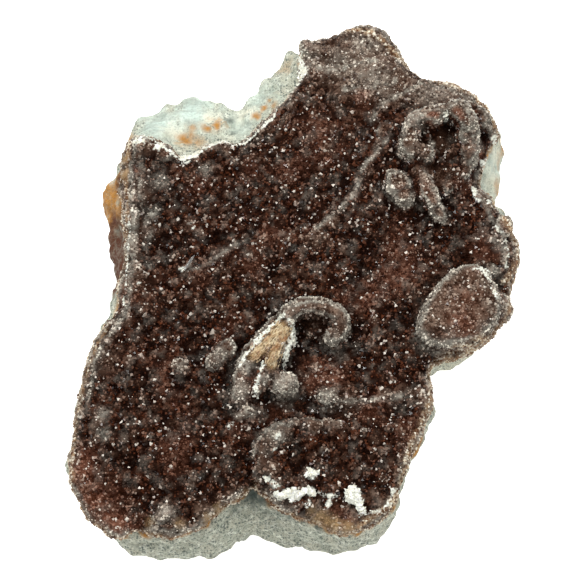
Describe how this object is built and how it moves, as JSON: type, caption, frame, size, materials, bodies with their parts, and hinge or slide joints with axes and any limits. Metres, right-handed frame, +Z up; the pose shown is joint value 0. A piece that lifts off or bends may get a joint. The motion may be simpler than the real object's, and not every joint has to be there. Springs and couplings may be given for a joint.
{
  "type": "sphalerite mineral specimen",
  "caption": "Loose plaque of pale grey-green rock under a glittering red-brown sphalerite druse with ridges, lumps and white crystal clusters, lying crystal side up.",
  "frame": {"origin": "on the floor under the middle of the specimen's bounding box, which lies on its broken back", "axes": "+Z up out of the druse side, +Y along the long side away from the stepped front wall, +X to the right seen from that wall"},
  "size_m": [0.1143, 0.1374, 0.0355],
  "materials": {
    "pale_rock": "fine-grained broken rock, matt",
    "sphalerite_druse": "glittering crust of very small adamantine crystals",
    "white_crystals": "white crystalline, slightly glossy"
  },
  "bodies": {
    "root": {"matrix": "pale_rock", "druse_crust": "sphalerite_druse", "white_cluster_large": "white_crystals", "white_cluster_strip": "white_crystals", "white_cluster_chip": "white_crystals"}
  },
  "joints": []
}
